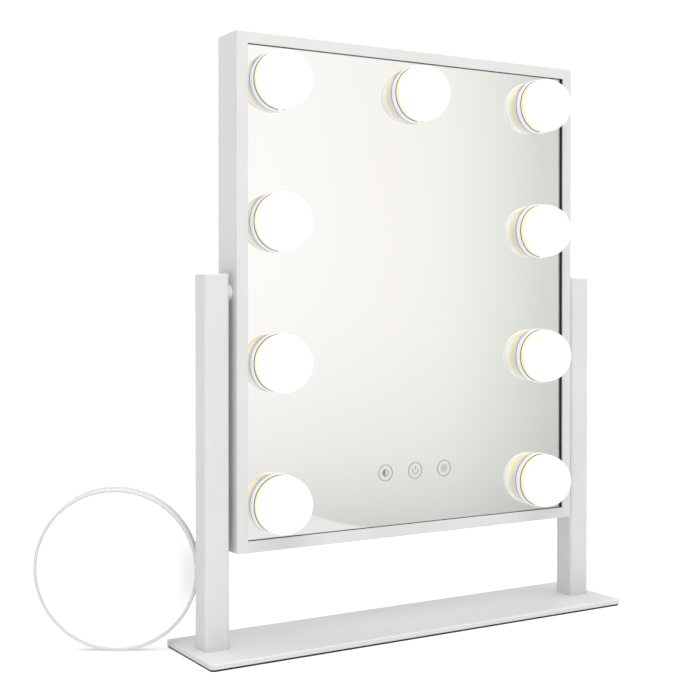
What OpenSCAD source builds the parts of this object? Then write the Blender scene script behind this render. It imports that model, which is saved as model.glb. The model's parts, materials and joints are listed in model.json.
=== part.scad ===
// Lighted vanity mirror on a stand with two square posts, and its loose round
// magnifying mirror. Millimetres, +Z up, +X to the right, the mirror faces -Y.
// The origin is on the table, under the middle of the base, in the tilt axis's plane.

/* [Mirror head] */
// Outer width of the frame
frame_w = 325; // [310:1:350]
// Outer height of the frame
frame_h = 392; // [370:1:420]
// Depth of the frame, front to back
frame_d = 33; // [32:0.5:38]
// Width of the border that the frame shows in front
frame_border = 9; // [8:0.5:11]
// Distance from the frame's front to the tilt axis
pivot_depth = 14.3; // [13.9:0.1:15]
// Height of the tilt axis above the table
pivot_z = 272.4; // [260:0.1:290]

/* [Bulbs] */
// Diameter of a bulb's globe
globe_d = 45; // [38:1:46]
// How far the globe's centre stands in front of the glass
globe_reach = 10; // [8:0.5:12.5]
// Distance from the frame's inner edge to a bulb's axis
bulb_inset = 26.3; // [24:0.1:30]
// Height of the collar that holds a globe on the glass
collar_h = 4.4; // [4:0.1:5]

/* [Stand] */
// Width of the base
base_w = 393; // [385:1:430]
// Depth of the base
base_d = 83; // [70:1:120]
// Radius of the base's corners
base_corner = 4; // [3:1:20]
// Thickness of the base plate
base_t = 3.8; // [3:0.1:6]
// Radius of the base plate's upper edge
base_edge_r = 1.2; // [0.5:0.1:2]
// Thickness of the pad under the base
pad_t = 1.6; // [1:0.1:3]
// Side of a post's square tube
post_side = 20; // [18:1:24]
// Gap between the frame and a post
post_gap = 4; // [3.5:0.5:6]
// Height of a post's top above the tilt axis
post_over = 13.8; // [12:0.1:30]

/* [Magnifying mirror] */
// Diameter of the round mirror over its rim
spot_d = 125; // [110:1:130]
// Radius of the concave glass's curve
spot_curve = 500; // [400:10:800]
// Where its centre stands, left and right
spot_x = -236.5; // [-260:0.1:-236]
// Where its centre stands, front to back
spot_y = 43.2; // [43:0.1:60]
// Turn of the round mirror about the vertical
spot_turn = -31.2; // [-32:0.1:-30]
// Lean of the round mirror towards the post
spot_lean = 4; // [0:0.5:4]

/* [Hidden] */
$fn = 96;
eps = 0.01; // overshoot of a cutting tool

// Frame and glass stack, from the front to the back
frame_wall = 2.5;
frame_edge_r = 0.9;
lip_t = 1.4;
gasket_t = 1.8;
glass_t = 3;
tray_t = 3;
cover_t = 2;
cover_inset = 1.5; // how deep the rear cover sits inside the frame's back edge
seat_gap = 0.3; // room round a panel that drops into the frame
front_y = -pivot_depth;
back_y = front_y + frame_d;
glass_y = front_y + lip_t + gasket_t;
tray_y = glass_y + glass_t;
tray_back_y = tray_y + tray_t;
cover_y = back_y - cover_inset - cover_t;
window_w = frame_w - 2 * frame_border;
window_h = frame_h - 2 * frame_border;
cavity_w = frame_w - 2 * frame_wall;
cavity_h = frame_h - 2 * frame_wall;
panel_w = cavity_w - 2 * seat_gap;
panel_h = cavity_h - 2 * seat_gap;

// Bulbs: the top middle one, then the left and the right column from the top down
bulb_rows = 4;
bulb_x = window_w / 2 - bulb_inset;
bulb_z = window_h / 2 - bulb_inset;
row_pitch = 2 * bulb_z / (bulb_rows - 1);
bulb_spots = concat(
    [[0, bulb_z]],
    [for (side = [-1, 1], row = [0 : bulb_rows - 1]) [side * bulb_x, bulb_z - row * row_pitch]]
);
globe_r = globe_d / 2;
globe_wall = 1.2;
seam_gap = 0.6; // shadow gap between globe and collar
globe_cut = collar_h + seam_gap;
globe_rim_r = sqrt(pow(globe_r, 2) - pow(globe_reach - globe_cut, 2));
collar_step = 1.3; // how far the collar stands out past the globe's rim
collar_r = globe_rim_r + collar_step;
collar_edge_r = 0.7;
collar_wall = 1.8;
collar_floor = 1.6;
skirt_r = collar_r - collar_wall - 0.15;
skirt_wall = 1.2;
skirt_depth = 2;
skirt_root = 0.5; // how far the skirt runs up inside the globe
catch_w = 3; // catch at the foot of the globe's rim
catch_d = 1;
stem_r = 5;
stem_bore_r = 3.2;
stem_hole_r = stem_r + 0.4;
stem_tail = 6; // length of stem behind the tray
nut_flats = 16;
nut_t = 4;
led_board_r = skirt_r - skirt_wall - 1;
led_board_t = 1.2;
led_count = 8;
led_side = 3;
led_h = 0.8;
led_ring_r = 0.62 * led_board_r;

// Touch keys and their board
key_pitch = 28.7;
key_z = -144.4; // height from the tilt axis
key_r = 6.75;
key_line = 0.55;
key_print_t = 0.15;
touch_board_w = 84;
touch_board_h = 22;
touch_board_t = 1.2;
touch_pocket_gap = 1;

// Driver board
driver_w = 74;
driver_h = 46;
driver_z = -92;
driver_board_t = 1.6;
driver_standoff = 3;

// Power inlet in the rear cover
inlet_x = 60;
inlet_z = -168;
inlet_r = 4;
inlet_flange_r = 5.6;
inlet_flange_t = 1.1;
inlet_len = 14;
inlet_bore_r = 2.85;
inlet_bore_depth = 10;
inlet_pin_r = 1.05;
inlet_nut_flats = 11;
inlet_nut_t = 2;

// Rear cover's screws, in bosses on the tray
boss_x = panel_w / 2 - 9.5;
boss_z = panel_h / 2 - 9;
boss_mid_z = 75;
boss_r = 3.5;
boss_bore_r = 1.2;
cover_screw_r = 1.45;
cover_head_r = 2.8;
cover_head_t = 1.3;
cover_screw_len = 10;
boss_spots = concat(
    [for (i = [-1 : 1], j = [-1, 1]) [i * boss_x, j * boss_z]],
    [for (i = [-1, 1], j = [-1, 1]) [i * boss_x, j * boss_mid_z]]
);

// Posts and base
post_wall = 1.5;
post_corner = 2.4;
post_in = frame_w / 2 + post_gap;
post_x = post_in + post_side / 2;
plate_z = pad_t;
plate_top = pad_t + base_t;
post_top = pivot_z + post_over;
cap_t = 1.6;
cap_plug = 5;
cap_edge_r = 1.1;
tube_top = post_top - cap_t;
pad_inset = 0.8;
foot_h = 12;
foot_side = post_side - 2 * post_wall - 0.2;
foot_screw_y = 4.6;
base_screw_r = 1.95;
base_head_r = 3.9;
base_head_t = 2.1;
base_screw_len = 13;

// Pivot, on the right side: the left one is its mirror image
axial_gap = 0.3; // between parts that turn past each other
bolt_r = 3;
bush_bore_r = bolt_r + 0.05;
bush_r = 4.5;
bush_flange_r = 6;
bracket_t = 3;
bracket_front = 6.2; // how far the bracket reaches in front of the tilt axis
bracket_back = 14;
bracket_h = 56;
bracket_x = frame_w / 2 - frame_wall - bracket_t;
washer_r = 5.9;
washer_t = 1.6;
washer_x = bracket_x - washer_t;
bolt_head_x = washer_x - axial_gap;
bolt_head_r = 5;
bolt_head_t = 4;
bolt_socket_flats = 4;
pivot_nut_flats = 10;
pivot_nut_t = 5;
bolt_tip_x = post_in + post_wall + pivot_nut_t + 1.5;

// Magnifying mirror, from its front plane back
spot_r = spot_d / 2;
spot_rim_w = 2.3;
spot_depth = 10;
spot_edge_r = spot_rim_w / 2;
spot_bed_r = spot_r - spot_rim_w - 0.1;
spot_glass_t = 2;
spot_glass_back = 0.9; // how far the glass's edge sits behind the rim's front
spot_back_t = 2;
spot_seat_r = spot_bed_r - 2.5;
spot_seat_w = 2;
spot_curve_z = sqrt(pow(spot_curve, 2) - pow(spot_bed_r, 2)) - spot_glass_back;
spot_z = (spot_r - spot_edge_r) * cos(spot_lean) + spot_edge_r * (1 - sin(spot_lean));
cup_count = 3;
cup_ring_r = 36;
cup_r = 13;
cup_neck_r = 4.5;
cup_neck_h = 2;
cup_h = 4.5;
cup_hollow = 2.4;
cup_stud_r = 2;
cup_stud_head_r = 3.4;

// ---------------------------------------------------------------- shared shapes

// A rectangle with round corners, centred.
module round_rect(w, h, r) {
    square([w - 2 * r, h], center = true);
    square([w, h - 2 * r], center = true);
    for (i = [-1, 1], j = [-1, 1]) translate([i * (w / 2 - r), j * (h / 2 - r)]) circle(r);
}

// A box with every edge rounded, centred.
module soft_box(w, d, h, r) {
    intersection() {
        linear_extrude(h, center = true) round_rect(w, d, r);
        rotate([90, 0, 0]) linear_extrude(d, center = true) round_rect(w, h, r);
        rotate([90, 0, 90]) linear_extrude(w, center = true) round_rect(d, h, r);
    }
}

// An upright panel of the head, centred on the tilt axis, from y to y + t.
module panel(w, y, t, h) {
    translate([-w / 2, y, pivot_z - h / 2]) cube([w, t, h]);
}

// Puts its children on a spot [x, z] of the head, their +Z turned to the front (-Y).
module on_head(spot, y) {
    translate([spot[0], y, pivot_z + spot[1]]) rotate([90, 0, 0]) children();
}

// The right-hand piece for side 1, its mirror image for side -1.
module on_side(side) {
    if (side > 0) children();
    else mirror([1, 0, 0]) children();
}

// A cylinder along the tilt axis, from x1 to x2.
module axle(r, x1, x2) {
    translate([x1, 0, pivot_z]) rotate([0, 90, 0]) cylinder(r = r, h = x2 - x1);
}

// A hexagon, measured across its flats.
module hexagon(flats) {
    circle(r = flats / sqrt(3), $fn = 6);
}

// Puts its children on the magnifying mirror's front plane, their +Z to its front.
module on_spot() {
    translate([spot_x, spot_y, spot_z])
        rotate([0, 0, spot_turn]) rotate([90 + spot_lean, 0, 0]) children();
}

// Puts a copy of its children at each suction cup.
module at_cups() {
    for (i = [0 : cup_count - 1]) rotate(90 + i * 360 / cup_count) translate([cup_ring_r, 0, 0]) children();
}

// ------------------------------------------------------------------------ stand

module base_outline(inset) {
    round_rect(base_w - 2 * inset, base_d - 2 * inset, base_corner - inset);
}

// Puts a copy of its children at each screw under the posts.
module at_base_screws() {
    for (i = [-1, 1], j = [-1, 1]) translate([i * post_x, j * foot_screw_y, plate_z]) children();
}

module base_plate() {
    color("whitesmoke") difference() {
        translate([0, 0, plate_z]) intersection() {
            soft_box(base_w, base_d, 2 * base_t, base_edge_r);
            linear_extrude(base_t) base_outline(0);
        }
        at_base_screws() {
            translate([0, 0, -eps]) cylinder(r = base_screw_r + 0.2, h = base_t + 2 * eps);
            translate([0, 0, -eps]) cylinder(r1 = base_head_r + 0.2, r2 = base_screw_r + 0.2, h = base_head_t + 0.1);
        }
    }
}

module base_pad() {
    color("black") linear_extrude(pad_t) base_outline(pad_inset);
}

module post(side) {
    color("whitesmoke") on_side(side) difference() {
        translate([post_x, 0, plate_top]) linear_extrude(tube_top - plate_top) difference() {
            round_rect(post_side, post_side, post_corner);
            square(post_side - 2 * post_wall, center = true);
        }
        axle(bolt_r + 0.2, post_in - eps, post_in + post_wall + eps);
    }
}

module post_cap(side) {
    plug_side = post_side - 2 * post_wall - 0.2;
    color("whitesmoke") on_side(side) translate([post_x, 0, tube_top]) {
        intersection() {
            translate([0, 0, cap_t / 2 - cap_t]) soft_box(post_side, post_side, 3 * cap_t, cap_edge_r);
            linear_extrude(cap_t) round_rect(post_side, post_side, post_corner);
        }
        translate([-plug_side / 2, -plug_side / 2, -cap_plug]) cube([plug_side, plug_side, cap_plug]);
    }
}

module post_feet() {
    color("silver") difference() {
        for (i = [-1, 1]) translate([i * post_x, 0, plate_top + foot_h / 2])
            cube([foot_side, foot_side, foot_h], center = true);
        at_base_screws() translate([0, 0, base_t - eps]) cylinder(r = base_screw_r + 0.05, h = foot_h + 2 * eps);
    }
}

module base_screws() {
    color("silver") at_base_screws() difference() {
        union() {
            cylinder(r1 = base_head_r, r2 = base_screw_r, h = base_head_t);
            cylinder(r = base_screw_r, h = base_screw_len);
        }
        translate([0, 0, -eps]) linear_extrude(1.2) hexagon(2.5);
    }
}

module pivot_bolt(side) {
    color("silver") on_side(side) difference() {
        union() {
            axle(bolt_r, bolt_head_x - eps, bolt_tip_x);
            axle(bolt_head_r, bolt_head_x - bolt_head_t, bolt_head_x);
        }
        translate([bolt_head_x - bolt_head_t - eps, 0, pivot_z])
            rotate([0, 90, 0]) linear_extrude(2.2) hexagon(bolt_socket_flats);
    }
}

module pivot_nuts() {
    color("silver") for (side = [-1, 1]) on_side(side) difference() {
        translate([post_in + post_wall, 0, pivot_z])
            rotate([0, 90, 0]) linear_extrude(pivot_nut_t) hexagon(pivot_nut_flats);
        axle(bolt_r + 0.05, post_in, bolt_tip_x);
    }
}

// ------------------------------------------------------------------ mirror head

module frame_shell() {
    color("whitesmoke") difference() {
        translate([0, front_y + frame_d / 2, pivot_z]) soft_box(frame_w, frame_d, frame_h, frame_edge_r);
        panel(cavity_w, front_y + lip_t, frame_d, cavity_h);
        panel(window_w, front_y - 1, frame_d, window_h);
        axle(bush_r + 0.1, -frame_w, frame_w);
    }
}

module glass_gasket() {
    color("black") difference() {
        panel(panel_w, front_y + lip_t, gasket_t, panel_h);
        panel(window_w + 0.6, front_y, frame_d, window_h + 0.6);
    }
}

module mirror_glass() {
    color("lightblue") difference() {
        panel(panel_w, glass_y, glass_t, panel_h);
        for (spot = bulb_spots) on_head(spot, tray_y + 1) cylinder(r = stem_hole_r, h = glass_t + 2);
    }
}

// The moulded tray behind the glass, with the rear cover's bosses.
module backing_tray() {
    color("white") difference() {
        union() {
            panel(panel_w, tray_y, tray_t, panel_h);
            for (spot = boss_spots) on_head(spot, cover_y) cylinder(r = boss_r, h = cover_y - tray_back_y + eps);
        }
        for (spot = bulb_spots) on_head(spot, tray_back_y + 1) cylinder(r = stem_hole_r, h = tray_t + 2);
        for (spot = boss_spots) on_head(spot, cover_y + eps) cylinder(r = boss_bore_r, h = cover_screw_len);
        translate([0, 0, key_z]) panel(touch_board_w + 2 * touch_pocket_gap, tray_y - 1, tray_t + 2,
            touch_board_h + 2 * touch_pocket_gap);
        for (i = [-1, 1]) translate([i * panel_w / 2, 0, 0])
            panel(2 * (panel_w / 2 - bolt_head_x + bolt_head_t + 1), tray_y - 1, tray_t + 2, bracket_h + 2);
    }
}

module rear_cover() {
    color("white") difference() {
        panel(panel_w, cover_y, cover_t, panel_h);
        for (spot = boss_spots) on_head(spot, cover_y + cover_t + 1) cylinder(r = cover_screw_r + 0.2, h = cover_t + 2);
        on_head([inlet_x, inlet_z], cover_y + cover_t + 1) cylinder(r = inlet_r + 0.1, h = cover_t + 2);
    }
}

module rear_cover_screws() {
    color("silver") for (spot = boss_spots) on_head(spot, cover_y + cover_t) difference() {
        union() {
            translate([0, 0, -cover_head_t]) cylinder(r = cover_head_r, h = cover_head_t);
            translate([0, 0, -eps]) cylinder(r = boss_bore_r - 0.05, h = cover_screw_len);
        }
        for (turn = [0, 90]) rotate(turn) translate([-1.6, -0.35, -cover_head_t - eps]) cube([3.2, 0.7, 0.8]);
    }
}

module pivot_bush(side) {
    color("ivory") on_side(side) difference() {
        union() {
            axle(bush_r, bracket_x, frame_w / 2 + eps);
            axle(bush_flange_r, frame_w / 2, post_in - axial_gap);
        }
        axle(bush_bore_r, bracket_x - 1, post_in);
    }
}

module pivot_brackets() {
    color("silver") for (side = [-1, 1]) on_side(side) difference() {
        translate([bracket_x, -bracket_front, pivot_z - bracket_h / 2])
            cube([bracket_t, bracket_front + bracket_back, bracket_h]);
        axle(bush_r + 0.05, bracket_x - 1, frame_w / 2);
    }
}

module friction_washers() {
    color("silver") for (side = [-1, 1]) on_side(side) difference() {
        axle(washer_r, washer_x, bracket_x);
        axle(bolt_r + 0.3, washer_x - 1, bracket_x + 1);
    }
}

// The power sign: an open ring and a stroke.
module power_sign() {
    r = 0.45 * key_r;
    difference() {
        circle(r);
        circle(r - key_line);
        square([0.8 * r, 3 * r], center = false);
        mirror([1, 0]) square([0.8 * r, 3 * r]);
    }
    translate([-key_line / 2, 0.15 * r]) square([key_line, r]);
}

// The light mode sign: a half-filled disc.
module mode_sign() {
    r = 0.45 * key_r;
    difference() {
        circle(r);
        intersection() {
            circle(r - key_line);
            translate([0, -r]) square([r, 2 * r]);
        }
    }
}

// The brightness sign: a small ring with rays.
module brightness_sign() {
    r = 0.24 * key_r;
    difference() {
        circle(r);
        circle(r - key_line);
    }
    for (i = [0 : 7]) rotate(45 * i) translate([1.35 * r, -key_line / 2]) square([0.75 * r, key_line]);
}

module touch_icons() {
    color("dimgray") for (i = [-1 : 1]) on_head([i * key_pitch, key_z], glass_y) linear_extrude(key_print_t) {
        difference() {
            circle(key_r);
            circle(key_r - key_line);
        }
        if (i == -1) mode_sign();
        if (i == 0) power_sign();
        if (i == 1) brightness_sign();
    }
}

module touch_board() {
    color("darkgreen") {
        translate([0, 0, key_z]) panel(touch_board_w, tray_y, touch_board_t, touch_board_h);
        for (i = [-1 : 1]) on_head([i * key_pitch, key_z], tray_y + touch_board_t + 1)
            translate([-3, -2, 0]) cube([6, 4, 1 + eps]);
        translate([touch_board_w / 2 - 8, 0, key_z]) panel(8, tray_y + touch_board_t - eps, 5, 10);
    }
}

module driver_board() {
    board_y = tray_back_y + driver_standoff;
    top_y = board_y + driver_board_t - eps;
    color("darkgreen") translate([0, 0, driver_z]) {
        panel(driver_w, board_y, driver_board_t, driver_h);
        for (i = [-1, 1], j = [-1, 1])
            on_head([i * (driver_w / 2 - 4), j * (driver_h / 2 - 4)], board_y + eps)
                cylinder(r = 2.2, h = driver_standoff + eps);
        translate([-14, 0, 6]) panel(10, top_y, 2.5, 10);
        translate([6, 0, 4]) panel(12, top_y, 6, 12);
        on_head([22, 10], top_y + 9) cylinder(r = 4, h = 9);
        on_head([22, -8], top_y + 9) cylinder(r = 4, h = 9);
        for (i = [-1 : 1]) translate([-28 + 12 * i / 2, 0, -16 - 2 * i]) panel(5, top_y, 5, 4);
    }
}

module dc_inlet() {
    color("black") on_head([inlet_x, inlet_z], cover_y + cover_t) difference() {
        union() {
            translate([0, 0, -inlet_flange_t]) cylinder(r = inlet_r, h = inlet_flange_t + inlet_len);
            translate([0, 0, -inlet_flange_t]) cylinder(r = inlet_flange_r, h = inlet_flange_t);
        }
        translate([0, 0, -inlet_flange_t - eps]) cylinder(r = inlet_bore_r, h = inlet_bore_depth);
    }
}

module dc_pin() {
    color("gold") on_head([inlet_x, inlet_z], cover_y + cover_t)
        translate([0, 0, -inlet_flange_t + 1]) cylinder(r = inlet_pin_r, h = inlet_bore_depth - 1 - eps);
}

module dc_nut() {
    color("silver") on_head([inlet_x, inlet_z], cover_y) difference() {
        linear_extrude(inlet_nut_t) hexagon(inlet_nut_flats);
        translate([0, 0, -1]) cylinder(r = inlet_r + 0.05, h = inlet_nut_t + 2);
    }
}

// Lamp wires: a drop in each stem, a trunk down each column, one across the top,
// and the leads to the driver board and the inlet.
module wiring_loom() {
    wire_r = 1.2;
    stem_end_y = tray_back_y + stem_tail;
    trunk_y = stem_end_y + 1 + 2 * wire_r;
    cross_y = trunk_y + 2 * wire_r + 0.2;
    color("white") {
        for (spot = bulb_spots)
            on_head(spot, trunk_y - wire_r - 0.1) cylinder(r = wire_r, h = trunk_y - wire_r - 0.1 - glass_y);
        for (i = [-1, 1]) translate([i * bulb_x, trunk_y, pivot_z - bulb_z]) cylinder(r = wire_r, h = 2 * bulb_z);
        translate([-bulb_x, cross_y, pivot_z + bulb_z]) rotate([0, 90, 0]) cylinder(r = wire_r, h = 2 * bulb_x);
        translate([-bulb_x, cross_y, pivot_z + driver_z - driver_h / 2 - 6])
            rotate([0, 90, 0]) cylinder(r = wire_r, h = 2 * bulb_x);
        translate([inlet_x, cover_y - 12.4 + wire_r, pivot_z + inlet_z + inlet_r + 3])
            cylinder(r = wire_r, h = driver_z - inlet_z - driver_h / 2 - inlet_r - 14);
    }
}

// ------------------------------------------------------------------------ bulbs

module bulb_nuts() {
    color("silver") for (spot = bulb_spots) on_head(spot, tray_back_y + nut_t) difference() {
        linear_extrude(nut_t) hexagon(nut_flats);
        translate([0, 0, -1]) cylinder(r = stem_r + 0.05, h = nut_t + 2);
    }
}

// The collar stands on the glass at z = 0, its stem goes back through glass and tray.
module bulb_collar() {
    stem_len = tray_back_y + stem_tail - glass_y;
    color("gainsboro") difference() {
        union() {
            rotate_extrude() {
                square([collar_r - collar_edge_r, collar_h]);
                square([collar_r, collar_h - collar_edge_r]);
                translate([collar_r - collar_edge_r, collar_h - collar_edge_r]) circle(collar_edge_r, $fn = 32);
            }
            translate([0, 0, -stem_len]) cylinder(r = stem_r, h = stem_len + eps);
        }
        translate([0, 0, collar_floor]) cylinder(r = collar_r - collar_wall, h = collar_h);
        translate([0, 0, -stem_len - 1]) cylinder(r = stem_bore_r, h = stem_len + collar_h);
        translate([-catch_w / 2 - 0.15, -collar_r - 1, collar_h - catch_d - 0.1]) cube([catch_w + 0.3, collar_wall + 2, 2]);
    }
}

module bulb_globe() {
    color("lightyellow") {
        difference() {
            translate([0, 0, globe_reach]) sphere(globe_r);
            translate([0, 0, globe_reach]) sphere(globe_r - globe_wall);
            translate([-globe_d, -globe_d, globe_cut - globe_d]) cube([2 * globe_d, 2 * globe_d, globe_d]);
        }
        difference() {
            translate([0, 0, collar_h - skirt_depth]) cylinder(r = skirt_r, h = skirt_depth + seam_gap + skirt_root);
            translate([0, 0, collar_h - skirt_depth - 1]) cylinder(r = skirt_r - skirt_wall, h = skirt_depth + 3);
        }
        intersection() {
            translate([-catch_w / 2, -collar_r, collar_h - catch_d])
                cube([catch_w, collar_r - skirt_r + 0.4, catch_d + seam_gap + skirt_root]);
            cylinder(r = collar_r - 0.1, h = globe_d);
        }
    }
}

module led_board() {
    color("white") translate([0, 0, collar_floor]) {
        difference() {
            cylinder(r = led_board_r, h = led_board_t);
            translate([0, 0, -1]) cylinder(r = stem_bore_r - 0.6, h = led_board_t + 2);
        }
        for (i = [0 : led_count - 1]) rotate(360 * i / led_count)
            translate([led_ring_r - led_side / 2, -led_side / 2, led_board_t - eps])
                cube([led_side, led_side, led_h]);
    }
}

// ------------------------------------------------------------ magnifying mirror

module spot_rim() {
    color("gainsboro") on_spot() rotate_extrude($fn = 180) {
        translate([spot_r - spot_rim_w, -spot_depth]) square([spot_rim_w, spot_depth - spot_edge_r]);
        translate([spot_r - spot_edge_r, -spot_edge_r]) circle(spot_edge_r, $fn = 32);
    }
}

module spot_glass() {
    color("lightblue") on_spot() intersection() {
        translate([0, 0, -spot_depth]) cylinder(r = spot_bed_r, h = spot_depth);
        translate([0, 0, spot_curve_z]) difference() {
            sphere(spot_curve + spot_glass_t);
            sphere(spot_curve);
        }
    }
}

module spot_back() {
    seat_h = spot_depth - spot_back_t - spot_glass_back - spot_glass_t - 0.7;
    color("white") on_spot() translate([0, 0, -spot_depth]) difference() {
        union() {
            cylinder(r = spot_bed_r, h = spot_back_t);
            difference() {
                cylinder(r = spot_seat_r, h = spot_back_t + seat_h);
                translate([0, 0, spot_back_t]) cylinder(r = spot_seat_r - spot_seat_w, h = spot_depth);
            }
        }
        at_cups() translate([0, 0, -1]) cylinder(r = cup_stud_r + 0.1, h = spot_back_t + 2);
    }
}

module suction_cups() {
    curve_r = (pow(cup_r, 2) + pow(cup_hollow, 2)) / (2 * cup_hollow);
    color("lightcyan") on_spot() translate([0, 0, -spot_depth]) at_cups() {
        cylinder(r = cup_stud_r, h = spot_back_t + eps);
        translate([0, 0, spot_back_t]) cylinder(r = cup_stud_head_r, h = 0.8);
        translate([0, 0, -cup_neck_h]) cylinder(r = cup_neck_r, h = cup_neck_h);
        difference() {
            translate([0, 0, -cup_neck_h - cup_h]) cylinder(r1 = cup_r, r2 = cup_neck_r, h = cup_h);
            translate([0, 0, -cup_neck_h - cup_h + cup_hollow - curve_r]) sphere(curve_r);
        }
    }
}

// ------------------------------------------------------------------------ nodes

base_plate();
base_pad();
post(-1);  // left_post
post(1);  // right_post
post_cap(-1);  // left_post_cap
post_cap(1);  // right_post_cap
post_feet();
base_screws();
pivot_bolt(-1);  // left_pivot_bolt
pivot_bolt(1);  // right_pivot_bolt
pivot_nuts();
frame_shell();
glass_gasket();
mirror_glass();
backing_tray();
rear_cover();
rear_cover_screws();
pivot_bush(-1);  // left_pivot_bush
pivot_bush(1);  // right_pivot_bush
pivot_brackets();
friction_washers();
touch_icons();
touch_board();
driver_board();
dc_inlet();
dc_pin();
dc_nut();
wiring_loom();
bulb_nuts();
for (i = [1 : len(bulb_spots)]) {
    on_head(bulb_spots[i - 1], glass_y) bulb_globe();
    on_head(bulb_spots[i - 1], glass_y) bulb_collar();
    on_head(bulb_spots[i - 1], glass_y) led_board();
}
spot_rim();
spot_glass();
spot_back();
suction_cups();
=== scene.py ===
import json
import math

import bpy
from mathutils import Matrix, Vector


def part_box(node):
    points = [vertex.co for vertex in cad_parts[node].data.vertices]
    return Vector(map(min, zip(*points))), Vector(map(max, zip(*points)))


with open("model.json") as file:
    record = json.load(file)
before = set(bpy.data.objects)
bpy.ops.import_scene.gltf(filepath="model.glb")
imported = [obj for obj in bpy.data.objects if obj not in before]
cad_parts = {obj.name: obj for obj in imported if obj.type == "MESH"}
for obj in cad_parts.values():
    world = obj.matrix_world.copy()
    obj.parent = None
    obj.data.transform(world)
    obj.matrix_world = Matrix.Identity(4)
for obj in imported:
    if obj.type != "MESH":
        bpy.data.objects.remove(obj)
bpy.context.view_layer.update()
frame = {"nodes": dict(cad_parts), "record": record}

MM = 0.001
NODES = frame["nodes"]

# The nine lamps are alike, so the first one gives the sizes that their materials need.
GLASS_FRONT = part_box("mirror_glass")[0].y
GLOBE_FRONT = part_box("bulb_globe_1")[0].y
collar_low, collar_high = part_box("bulb_collar_1")
COLLAR_H = (GLASS_FRONT - collar_low.y) / MM
COLLAR_R = (collar_high.x - collar_low.x) / 2

WHITE = (0.608, 0.611, 0.616)
ABS_WHITE = (0.68, 0.685, 0.69)
MIRROR_COLOUR = (0.78, 0.785, 0.78)
MIRROR_SHARE = 0.78
ROUND_MIRROR_COLOUR = (0.93, 0.935, 0.93)
BLACK = (0.0, 0.0, 0.0)
# Near-black for the shade painted into the lamp collars: the seam ring and the contact shadow line.
SEAM_SHADE_BLACK = (0.04, 0.04, 0.04)

FLOOR_SIZE = 60.0
FLOOR_LIFT = 0.36


# ------------------------------------------------------------------ node helpers

class Graph:
    """A material's or the world's node tree, with short calls for the nodes used here."""

    def __init__(self, tree):
        self.tree = tree
        self.tree.nodes.clear()

    def add(self, kind, **settings):
        node = self.tree.nodes.new(kind)
        for name, value in settings.items():
            setattr(node, name, value)
        return node

    def link(self, out, into):
        self.tree.links.new(out, into)

    def feed(self, socket, value):
        """Links an output into a socket, or sets the socket to a plain value."""
        if isinstance(value, bpy.types.NodeSocket):
            self.link(value, socket)
        else:
            socket.default_value = value

    def place(self):
        """The point's place in the row frame, in metres."""
        return self.add("ShaderNodeTexCoord").outputs["Object"]

    def axis(self, vector, name):
        split = self.add("ShaderNodeSeparateXYZ")
        self.link(vector, split.inputs[0])
        return split.outputs[name]

    def math(self, operation, a, b=0.0):
        node = self.add("ShaderNodeMath", operation=operation)
        self.feed(node.inputs[0], a)
        self.feed(node.inputs[1], b)
        return node.outputs[0]

    def stretch(self, vector, scale):
        node = self.add("ShaderNodeVectorMath", operation="MULTIPLY")
        self.link(vector, node.inputs[0])
        node.inputs[1].default_value = scale
        return node.outputs[0]

    def noise(self, vector, scale, detail=2.0, roughness=0.5):
        node = self.add("ShaderNodeTexNoise")
        self.link(vector, node.inputs["Vector"])
        node.inputs["Scale"].default_value = scale
        node.inputs["Detail"].default_value = detail
        node.inputs["Roughness"].default_value = roughness
        return node.outputs["Fac"]

    def cells(self, vector, scale, feature="F1"):
        node = self.add("ShaderNodeTexVoronoi", feature=feature)
        self.link(vector, node.inputs["Vector"])
        node.inputs["Scale"].default_value = scale
        return node.outputs["Distance"]

    def spread(self, value, low, high, to_low=0.0, to_high=1.0, smooth=False):
        node = self.add("ShaderNodeMapRange", clamp=True)
        node.interpolation_type = "SMOOTHSTEP" if smooth else "LINEAR"
        self.feed(node.inputs["Value"], value)
        ends = {"From Min": low, "From Max": high, "To Min": to_low, "To Max": to_high}
        for name, number in ends.items():
            node.inputs[name].default_value = number
        return node.outputs["Result"]

    def ramp(self, value, stops):
        node = self.add("ShaderNodeValToRGB")
        node.color_ramp.interpolation = "EASE" if len(stops) == 2 else "B_SPLINE"
        elements = node.color_ramp.elements
        while len(elements) < len(stops):
            elements.new(1.0)
        for element, (place, colour) in zip(elements, stops):
            element.position = place
            element.color = (*colour, 1.0)
        self.link(value, node.inputs["Fac"])
        return node.outputs["Color"]

    def blend(self, fac, a, b, mode="MIX"):
        node = self.add("ShaderNodeMix", data_type="RGBA", blend_type=mode)
        self.feed(node.inputs["Factor"], fac)
        colours = [s for s in node.inputs if s.type == "RGBA"]
        for socket, value in zip(colours, (a, b)):
            self.feed(socket, value if isinstance(value, bpy.types.NodeSocket) else (*value, 1.0))
        return next(s for s in node.outputs if s.type == "RGBA")

    def bump(self, height, strength, depth, under=None):
        node = self.add("ShaderNodeBump")
        node.inputs["Strength"].default_value = strength
        node.inputs["Distance"].default_value = depth
        self.link(height, node.inputs["Height"])
        if under is not None:
            self.link(under, node.inputs["Normal"])
        return node.outputs["Normal"]


def new_material(name, **sockets):
    """A Principled material; sockets gives its uniform values by name."""
    material = bpy.data.materials.new(name)
    material.use_nodes = True
    graph = Graph(material.node_tree)
    shader = graph.add("ShaderNodeBsdfPrincipled")
    output = graph.add("ShaderNodeOutputMaterial")
    graph.link(shader.outputs["BSDF"], output.inputs["Surface"])
    for socket, value in sockets.items():
        name_in_blender = socket.replace("_", " ")
        shader.inputs[name_in_blender].default_value = value
    return material, graph, shader


def tint(colour, factor):
    return tuple(min(1.0, c * factor) for c in colour)


# --------------------------------------------------------------------- materials

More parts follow.
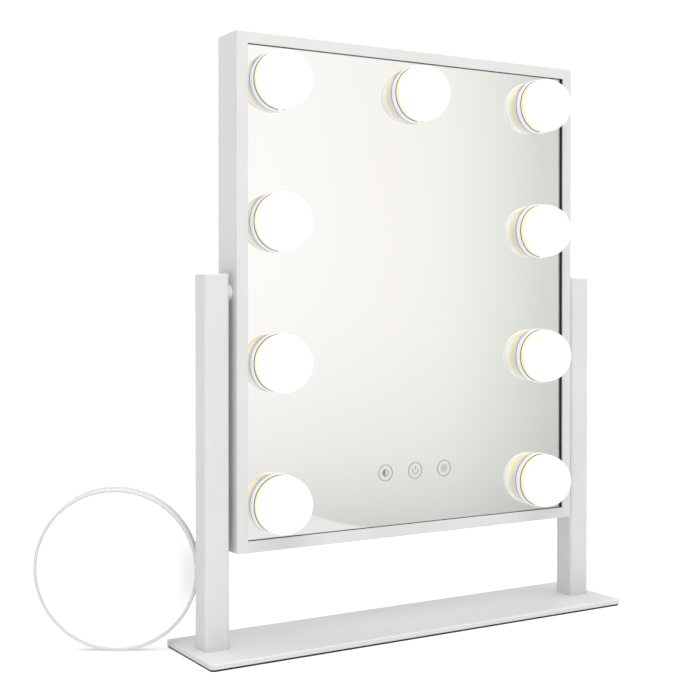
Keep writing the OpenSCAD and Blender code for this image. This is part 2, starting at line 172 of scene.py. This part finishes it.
def powder_coat(name, colour, gloss=0.36):
    """White powder coat: orange peel, a slight cloudiness and a satin gloss."""
    material, g, shader = new_material(name, Coat_Weight=0.12, Coat_Roughness=0.18)
    place = g.place()
    cloud = g.noise(place, 14.0, 3.0)
    paint = g.ramp(cloud, [(0.3, tint(colour, 0.985)), (0.7, tint(colour, 1.012))])
    g.link(paint, shader.inputs["Base Color"])
    g.link(g.spread(g.noise(place, 210.0, 3.0), 0.3, 0.7, gloss, gloss + 0.1), shader.inputs["Roughness"])
    peel = g.bump(g.noise(place, 620.0, 2.0), 0.22, 0.12 * MM)
    g.link(g.bump(g.noise(place, 2600.0, 1.0), 0.12, 0.05 * MM, peel), shader.inputs["Normal"])
    return material


def silvered_glass(name, colour):
    """Mirror: nearly perfect, with the faintest wiping haze."""
    material, g, shader = new_material(name, Metallic=1.0)
    place = g.place()
    haze = g.noise(g.stretch(place, (1.0, 1.0, 0.35)), 9.0, 4.0)
    silver = g.ramp(haze, [(0.2, tint(colour, 0.995)), (0.8, tint(colour, 1.004))])
    g.link(silver, shader.inputs["Base Color"])
    g.link(g.spread(haze, 0.35, 0.8, 0.0, 0.012), shader.inputs["Roughness"])
    return material


def rubber(name, colour, grain=900.0):
    """Soft black rubber: dull, with a fine pitted grain."""
    material, g, shader = new_material(name, Specular_IOR_Level=0.35)
    place = g.place()
    shade = g.ramp(g.noise(place, 60.0, 3.0), [(0.3, colour), (0.75, tint(colour, 1.6))])
    g.link(shade, shader.inputs["Base Color"])
    g.link(g.spread(g.noise(place, 300.0), 0.3, 0.7, 0.62, 0.82), shader.inputs["Roughness"])
    g.link(g.bump(g.cells(place, grain), 0.35, 0.15 * MM), shader.inputs["Normal"])
    return material


def moulded_plastic(name, colour, gloss=0.42, grain=1500.0, depth=0.06):
    """Spark-eroded moulding: a fine even stipple."""
    material, g, shader = new_material(name, Specular_IOR_Level=0.5)
    place = g.place()
    cloud = g.noise(place, 22.0, 2.0)
    resin = g.ramp(cloud, [(0.3, tint(colour, 0.98)), (0.7, tint(colour, 1.015))])
    g.link(resin, shader.inputs["Base Color"])
    g.link(g.spread(g.noise(place, 400.0), 0.3, 0.7, gloss, gloss + 0.12), shader.inputs["Roughness"])
    g.link(g.bump(g.cells(place, grain), 0.3, depth * MM), shader.inputs["Normal"])
    return material


def zinc(name, colour):
    """Zinc plate: soft spangle and fine turning marks."""
    material, g, shader = new_material(name, Metallic=1.0)
    place = g.place()
    spangle = g.cells(place, 420.0)
    plate = g.ramp(spangle, [(0.1, tint(colour, 0.85)), (0.9, tint(colour, 1.15))])
    g.link(plate, shader.inputs["Base Color"])
    g.link(g.spread(g.noise(place, 900.0, 3.0), 0.3, 0.7, 0.24, 0.42), shader.inputs["Roughness"])
    marks = g.noise(g.stretch(place, (1.0, 40.0, 1.0)), 300.0, 2.0)
    g.link(g.bump(marks, 0.15, 0.03 * MM), shader.inputs["Normal"])
    return material


def opal_globe(name):
    """Opal diffuser: a warm glow band just past the collar, strongest at the top, painted into the base
    colour as well as the emission, and lit white in front.
    """
    material, g, shader = new_material(name, Roughness=0.22, Coat_Weight=0.3, Coat_Roughness=0.08)
    place = g.place()
    height = g.spread(g.axis(place, "Y"), GLASS_FRONT, GLOBE_FRONT)
    unit = 1.0 / (GLASS_FRONT - GLOBE_FRONT)
    # How far in front of the glass each zone begins, in mm.
    reaches = (COLLAR_H + 1.0, COLLAR_H + 3.4, 11.0, 12.0, 20.0, 31.0)
    rim, warm_peak, warm_end, lit, bright, front = (a * MM * unit for a in reaches)
    up = g.axis(g.add("ShaderNodeTexCoord").outputs["Generated"], "Z")
    above_catch = g.spread(up, 0.035, 0.05)
    painted_glow_warmth = g.math("MULTIPLY", g.spread(up, 0.1, 0.8, 0.4, 0.85), above_catch)
    from_rim = g.spread(height, rim, warm_peak, 0.1, 1.0)
    edge = g.math("MULTIPLY", g.spread(height, warm_peak, warm_end, 1.0, 0.0), from_rim)
    band = g.math("MULTIPLY", edge, painted_glow_warmth)
    # Painted glow: the lamp's warm band is painted into the base colour, and into the emission colour
    # below.
    g.link(g.blend(band, (0.80, 0.80, 0.79), (0.84, 0.69, 0.24)), shader.inputs["Base Color"])
    start = g.blend(g.spread(height, rim, lit), (0.12, 0.10, 0.05), (0.30, 0.295, 0.28))
    glow = g.blend(g.spread(height, bright, front), start, (0.70, 0.69, 0.67))
    g.link(g.blend(band, glow, (0.42, 0.29, 0.01)), shader.inputs["Emission Color"])
    g.link(g.spread(g.noise(place, 260.0, 2.0), 0.2, 0.8, 0.97, 1.03), shader.inputs["Emission Strength"])
    g.link(g.bump(g.noise(place, 1400.0), 0.05, 0.02 * MM), shader.inputs["Normal"])
    return material


def lamp_collar(name, colour):
    """Milky collar that the lamp lights through, with a black ring painted in its mouth as the shade of
    the seam round the globe, and a black line painted along its base as contact shadow on the glass.
    """
    material, g, shader = new_material(name, Coat_Weight=0.4, Coat_Roughness=0.06, Emission_Strength=1.0)
    place = g.place()
    spot = g.add("ShaderNodeTexCoord").outputs["Generated"]
    across, up = (g.math("SUBTRACT", g.axis(spot, name), 0.5) for name in "XZ")
    radius = g.math("SQRT", g.math("ADD", g.math("MULTIPLY", across, across), g.math("MULTIPLY", up, up)))
    rim_width = 0.95 * MM
    painted_seam_edge = 0.5 * (1.0 - rim_width / COLLAR_R)
    blur = 0.002
    # Painted shade: a black ring inside the collar's mouth stands in for the shadowed seam between globe
    # and collar.
    painted_seam_shade = g.spread(radius, painted_seam_edge - blur, painted_seam_edge + blur, 1.0, 0.0)
    # Painted contact shadow: the collar's last half millimetre next to the glass is blackened.
    painted_contact_shadow = g.spread(g.axis(place, "Y"), GLASS_FRONT - 0.45 * MM, GLASS_FRONT - 0.3 * MM)
    shell = g.ramp(g.noise(place, 80.0), [(0.3, tint(colour, 0.98)), (0.7, tint(colour, 1.01))])
    # The two painted shades together: black in the base colour, with no emission.
    painted_shade = g.math("MAXIMUM", painted_seam_shade, painted_contact_shadow)
    lit_through = (0.45, 0.45, 0.455)
    g.link(g.blend(painted_shade, shell, SEAM_SHADE_BLACK), shader.inputs["Base Color"])
    g.link(g.blend(painted_shade, lit_through, BLACK), shader.inputs["Emission Color"])
    g.link(g.spread(g.noise(place, 500.0), 0.3, 0.7, 0.2, 0.3), shader.inputs["Roughness"])
    g.link(g.bump(g.noise(place, 1800.0), 0.06, 0.02 * MM), shader.inputs["Normal"])
    return material


def circuit(name, mask, metal):
    """Solder mask over copper tracks."""
    material, g, shader = new_material(name, Roughness=0.35, Coat_Weight=0.5, Coat_Roughness=0.1)
    place = g.place()
    turned = g.stretch(place, (1.0, 0.0, 1.0))
    tracks = g.cells(turned, 170.0, "DISTANCE_TO_EDGE")
    line = g.spread(tracks, 0.05, 0.09, 1.0, 0.0)
    pads = g.spread(g.cells(turned, 330.0), 0.12, 0.16, 1.0, 0.0)
    g.link(g.blend(g.math("MAXIMUM", line, pads), mask, metal), shader.inputs["Base Color"])
    g.link(g.bump(g.math("MAXIMUM", line, pads), 0.4, 0.04 * MM), shader.inputs["Normal"])
    return material


def clear_soft(name):
    """Clear soft plastic: slightly blue, with a moulded haze."""
    material, g, shader = new_material(name, Transmission_Weight=0.85, IOR=1.42)
    shader.inputs["Base Color"].default_value = (0.9, 0.93, 0.95, 1.0)
    place = g.place()
    g.link(g.spread(g.noise(place, 260.0, 3.0), 0.3, 0.7, 0.12, 0.28), shader.inputs["Roughness"])
    g.link(g.bump(g.noise(place, 700.0), 0.1, 0.05 * MM), shader.inputs["Normal"])
    return material


def pale_floor(name):
    """The stage: pale, and bright enough to lose its shadows as a white sweep does."""
    material, g, shader = new_material(name, Roughness=0.9, Specular_IOR_Level=0.1)
    shader.inputs["Emission Strength"].default_value = FLOOR_LIFT
    place = g.place()
    shade = g.ramp(g.noise(place, 3.0, 2.0), [(0.3, (0.65, 0.65, 0.65)), (0.7, (0.66, 0.66, 0.66))])
    g.link(shade, shader.inputs["Base Color"])
    shader.inputs["Emission Color"].default_value = (1.0, 1.0, 1.0, 1.0)
    return material


SLOT_MATERIALS = {
    "stand_enamel": powder_coat("powder_coat_stand", WHITE),
    "frame_enamel": powder_coat("powder_coat_frame", WHITE, 0.33),
    "silvered_glass": silvered_glass("silvered_glass", MIRROR_COLOUR),
    "black_rubber": rubber("black_rubber", (0.012, 0.012, 0.013)),
    "zinc_steel": zinc("zinc_steel", (0.62, 0.62, 0.64)),
    "white_abs": moulded_plastic("white_abs", ABS_WHITE),
    "collar_plastic": lamp_collar("collar_plastic", (0.38, 0.38, 0.385)),
    "opal_globe": opal_globe("opal_globe"),
    "led_board_white": circuit("led_board_white", (0.82, 0.82, 0.80), (0.70, 0.70, 0.68)),
    "circuit_board": circuit("circuit_board", (0.015, 0.14, 0.05), (0.10, 0.32, 0.12)),
    "nylon": moulded_plastic("nylon", (0.80, 0.80, 0.79), 0.3, 900.0),
    "grey_print": moulded_plastic("grey_print", (0.22, 0.24, 0.23), 0.5, 2500.0, 0.02),
    "black_plastic": moulded_plastic("black_plastic", (0.02, 0.02, 0.022), 0.35),
    "brass_contact": zinc("brass_contact", (0.78, 0.58, 0.28)),
    "wire_sleeve": moulded_plastic("wire_sleeve", (0.78, 0.78, 0.76), 0.4, 700.0),
    "spot_rim_plastic": moulded_plastic("spot_rim_plastic", (0.60, 0.61, 0.63), 0.2, 2200.0, 0.02),
    "clear_soft_plastic": clear_soft("clear_soft_plastic"),
}

for part in frame["record"]["subparts"]:
    mesh = NODES[part["node"]].data
    mesh.materials.clear()
    mesh.materials.append(SLOT_MATERIALS[part["material_slot"]])
round_glass = silvered_glass("silvered_glass_round", ROUND_MIRROR_COLOUR)
NODES["spot_glass"].data.materials[0] = round_glass


# ------------------------------------------------------------------------- stage

def big_floor():
    """The stage's floor, which no glossy surface shows."""
    bpy.ops.mesh.primitive_plane_add(size=FLOOR_SIZE, location=(0.0, 0.0, 0.0))
    floor = bpy.context.object
    floor.name = "floor"
    floor.data.materials.append(pale_floor("pale_floor"))
    floor.visible_glossy = False


def soft_box(name, place, aim, size, power):
    """A square soft light, in metres and watts, that no glossy surface shows."""
    data = bpy.data.lights.new(name, "AREA")
    data.shape = "SQUARE"
    data.size = size
    data.energy = power
    lamp = bpy.data.objects.new(name, data)
    lamp.location = place
    lamp.rotation_euler = (Vector(aim) - Vector(place)).to_track_quat("-Z", "Y").to_euler()
    lamp.visible_glossy = False
    bpy.context.scene.collection.objects.link(lamp)


# The studio's grey levels. Turn is the angle from straight in front (-Y) towards +X, and rise
# is the angle above the horizon, both in degrees.
LEFT_SKY, RIGHT_SKY, TOP_SKY = 0.60, 0.34, 2.60
FRONT_SKY = 0.05
RIGHT_FRONT_SKY = 0.70
BELOW_SKY = 1.2
BACKDROP = 1.05
AROUND = [
    (-180, RIGHT_SKY), (-130, LEFT_SKY), (-46, LEFT_SKY), (-34, FRONT_SKY),
    (10, FRONT_SKY), (48, RIGHT_FRONT_SKY), (80, RIGHT_SKY), (180, RIGHT_SKY),
]

# What the big mirror shows: a warm white card, darker and greener to the right, and darker below.
CARD_BY_TURN = [
    (22, (0.985, 0.972, 0.955)), (28, (0.975, 0.955, 0.935)), (31, (0.95, 0.925, 0.895)),
    (34, (0.925, 0.898, 0.86)), (36, (0.89, 0.875, 0.835)), (38, (0.79, 0.795, 0.755)),
    (40, (0.67, 0.69, 0.645)), (43, (0.58, 0.60, 0.565)),
]
CARD_BY_RISE = [
    (-13, 0.52), (-10.4, 0.66), (-9, 0.765), (-7, 0.875),
    (-4.5, 0.935), (-1, 0.995), (4, 1.01), (14, 0.97),
]

# The lighter table in the card's lower left corner, under a curved edge.
TABLE = (1.02, 1.05, 1.02)
TABLE_TURN = 32.5
TABLE_TOP = -10.1
TABLE_CURVE = 0.065

# The plain white card that the round mirror shows.
ROUND_CARD = (1.08, 1.08, 1.08)
ROUND_CARD_TURN = -31.2


def by_degrees(g, value, stops, strength=1.0):
    """Levels at angles, joined smoothly; a stop is (degrees, level) or (degrees, (r, g, b))."""
    low, high = stops[0][0], stops[-1][0]
    peak = max(max(level) if isinstance(level, tuple) else level for _, level in stops)
    colours = []
    for degrees, level in stops:
        rgb = level if isinstance(level, tuple) else (level, level, level)
        colours.append(((degrees - low) / (high - low), tuple(c / peak for c in rgb)))
    curve = g.ramp(g.spread(value, low, high), colours)
    return g.blend(1.0, curve, (peak * strength,) * 3, "MULTIPLY")


def big_mirror_card(g, turn, rise, around):
    """Lays the card, with its table corner, over the level around it."""
    card = by_degrees(g, turn, CARD_BY_TURN, 1.0 / MIRROR_SHARE)
    fall = by_degrees(g, rise, CARD_BY_RISE)
    from_left = g.spread(turn, 14, 24, smooth=True)
    to_right = g.spread(turn, 43, 52, 1.0, 0.0, smooth=True)
    shown = g.blend(1.0, card, fall, "MULTIPLY")
    band = g.blend(g.math("MULTIPLY", from_left, to_right), around, shown)

    aside = g.math("POWER", g.math("SUBTRACT", TABLE_TURN, turn), 2.0)
    edge = g.math("ADD", g.math("MULTIPLY", aside, TABLE_CURVE), TABLE_TOP)
    under_edge = g.spread(g.math("SUBTRACT", edge, rise), -0.06, 0.06)
    table_left = g.spread(turn, 12, 26, smooth=True)
    table_right = g.spread(turn, 31.9, 32.9, 1.0, 0.0)
    table_low = g.spread(rise, -20, -12, smooth=True)
    sides = g.math("MULTIPLY", table_right, table_left)
    table = g.math("MULTIPLY", g.math("MULTIPLY", under_edge, sides), table_low)
    return g.blend(table, band, TABLE)


def round_mirror_card(g, turn, around):
    off = g.math("ABSOLUTE", g.math("ADD", turn, -ROUND_CARD_TURN))
    return g.blend(g.spread(off, 18, 23, 1.0, 0.0, smooth=True), around, ROUND_CARD)


def studio_world():
    """A white studio: bright above and below, with the two cards that the mirrors show.

    The camera itself sees a plain white backdrop.
    """
    world = bpy.data.worlds.new("studio")
    bpy.context.scene.world = world
    world.use_nodes = True
    g = Graph(world.node_tree)
    way = g.add("ShaderNodeTexCoord").outputs["Generated"]
    x, y, z = (g.axis(way, name) for name in "XYZ")
    turn = g.math("DEGREES", g.math("ARCTAN2", x, g.math("MULTIPLY", y, -1.0)))
    rise = g.math("DEGREES", g.math("ARCSINE", z))

    band = big_mirror_card(g, turn, rise, by_degrees(g, turn, AROUND))
    band = round_mirror_card(g, turn, band)
    overhead = g.spread(rise, 34, 62, smooth=True)
    sky = g.blend(overhead, band, (TOP_SKY,) * 3)
    underfoot = g.spread(rise, -30, -16, 1.0, 0.0, smooth=True)
    sky = g.blend(underfoot, sky, (BELOW_SKY,) * 3)

    seen = g.add("ShaderNodeLightPath").outputs["Is Camera Ray"]
    background = g.add("ShaderNodeBackground")
    background.inputs["Strength"].default_value = 1.0
    output = g.add("ShaderNodeOutputWorld")
    g.link(g.blend(seen, sky, (BACKDROP,) * 3), background.inputs["Color"])
    g.link(background.outputs["Background"], output.inputs["Surface"])


def photo_camera():
    """The camera at the photograph's angle, solved from the object's straight edges."""
    data = bpy.data.cameras.new("camera")
    data.sensor_width = 36.0
    data.lens = 65.89
    data.shift_x = 0.0045
    data.shift_y = -0.0578
    camera = bpy.data.objects.new("camera", data)
    camera.location = (-0.58678, -0.87395, 0.26738)
    camera.rotation_euler = (math.radians(89.54), 0.0, math.radians(-31.16))
    bpy.context.scene.collection.objects.link(camera)
    bpy.context.scene.camera = camera


big_floor()
studio_world()
soft_box("front_light", place=(-0.7, -1.1, 0.7), aim=(-0.15, 0.0, 0.25), size=0.9, power=0.7)
soft_box("top_light", place=(-0.25, -0.55, 1.45), aim=(-0.1, -0.02, 0.0), size=0.5, power=4.1)
photo_camera()

view = bpy.context.scene.view_settings
view.view_transform = "Standard"
view.look = "None"
